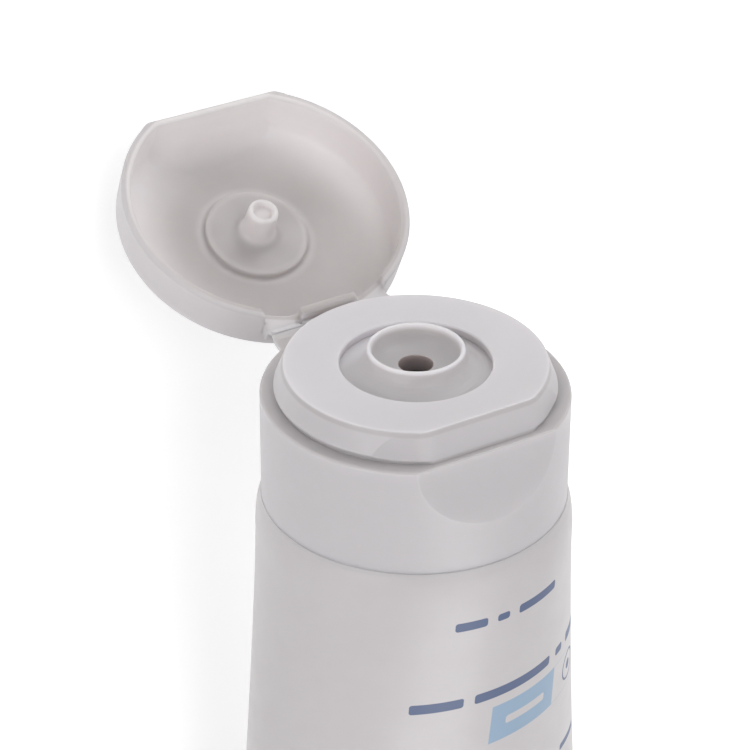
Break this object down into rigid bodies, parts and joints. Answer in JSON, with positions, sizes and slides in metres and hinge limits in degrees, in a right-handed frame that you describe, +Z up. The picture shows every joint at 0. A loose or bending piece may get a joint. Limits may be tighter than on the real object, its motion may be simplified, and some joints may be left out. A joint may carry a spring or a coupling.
{
  "type": "foot cream tube",
  "caption": "Soft squeeze tube of foot cream with a pressed flat end, lying on its back, its flip-top cap swung open on a living hinge.",
  "frame": {"origin": "on the surface that the tube lies on, at the centre of its bounding box", "axes": "+Y along the tube, from the pressed end towards the cap; +Z up, out of the printed front"},
  "size_m": [0.0544, 0.1276, 0.0551],
  "materials": {
    "sleeve": "satin",
    "head": "moulded",
    "cream": "smooth cream",
    "cap": "satin, moulded"
  },
  "bodies": {
    "tube": {"tube_sleeve": "sleeve", "tube_head": "head", "cream": "cream", "cap_base": "cap"},
    "lid": {"cap_lid": "cap"}
  },
  "joints": [
    {"name": "lid_hinge", "type": "hinge", "parent": "tube", "child": "lid", "pos_m": [0, 0.03995, 0.02609], "axis": [-1, 0, 0], "range_deg": [-155, 20]}
  ]
}
